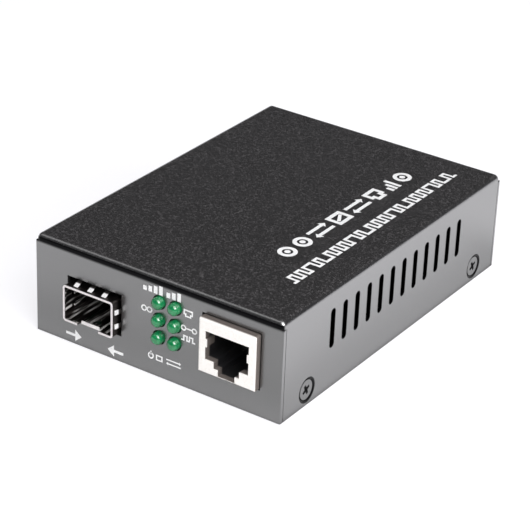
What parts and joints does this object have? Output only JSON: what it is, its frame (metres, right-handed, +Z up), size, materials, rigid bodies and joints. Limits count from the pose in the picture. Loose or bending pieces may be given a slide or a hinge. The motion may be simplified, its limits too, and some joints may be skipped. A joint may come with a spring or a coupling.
{
  "type": "fibre media converter",
  "caption": "Small steel-cased box that joins a pluggable optical module cage to a copper network jack, with indicator lamps on its front and a power inlet at its rear.",
  "frame": {"origin": "centre of the case's underside, on the surface it stands on", "axes": "+Z up, -Y out of the front with both ports, +X to the right seen from the front"},
  "size_m": [0.07, 0.0996, 0.026],
  "materials": {
    "case_powder_coat": "semi-gloss black powder coat with a fine grain",
    "screw_black": "black oxide",
    "zinc_steel": "zinc plated",
    "board_green": "green solder mask",
    "cage_nickel": "bright nickel plated sheet",
    "black_plastic": "moulded",
    "ivory_plastic": "natural moulded",
    "gold_contact": "gold plated",
    "lamp_green": "tinted clear epoxy",
    "tinned_metal": "tinned",
    "chip_epoxy": "moulded epoxy",
    "ferrite": "sintered",
    "capacitor_sleeve": "shrink sleeve",
    "capacitor_ceramic": "fired"
  },
  "bodies": {
    "root": {"lid": "case_powder_coat", "base_plate": "case_powder_coat", "side_screws": "screw_black", "circuit_board": "board_green", "board_standoffs": "zinc_steel", "board_screws": "zinc_steel", "sfp_cage": "cage_nickel", "sfp_spring_collar": "cage_nickel", "sfp_connector": "black_plastic", "sfp_connector_contacts": "gold_contact", "rj45_bezel": "ivory_plastic", "rj45_housing": "black_plastic", "rj45_insert": "black_plastic", "rj45_contacts": "gold_contact", "led_leads": "tinned_metal", "led_holder": "black_plastic", "dc_jack_housing": "black_plastic", "dc_jack_pin": "tinned_metal", "dc_jack_contacts": "tinned_metal", "converter_chip": "chip_epoxy", "converter_chip_pins": "tinned_metal", "memory_chip": "chip_epoxy", "memory_chip_pins": "tinned_metal", "regulator_chip": "chip_epoxy", "regulator_chip_pins": "tinned_metal", "network_transformer": "chip_epoxy", "transformer_pins": "tinned_metal", "clock_crystal": "tinned_metal", "power_inductor": "ferrite", "input_diode": "chip_epoxy", "chip_capacitors": "capacitor_ceramic", "chip_resistors": "chip_epoxy", "supply_capacitor_1": "capacitor_sleeve", "supply_capacitor_2": "capacitor_sleeve", "led_1": "lamp_green", "led_2": "lamp_green", "led_3": "lamp_green", "led_4": "lamp_green", "led_5": "lamp_green", "led_6": "lamp_green"}
  },
  "joints": []
}
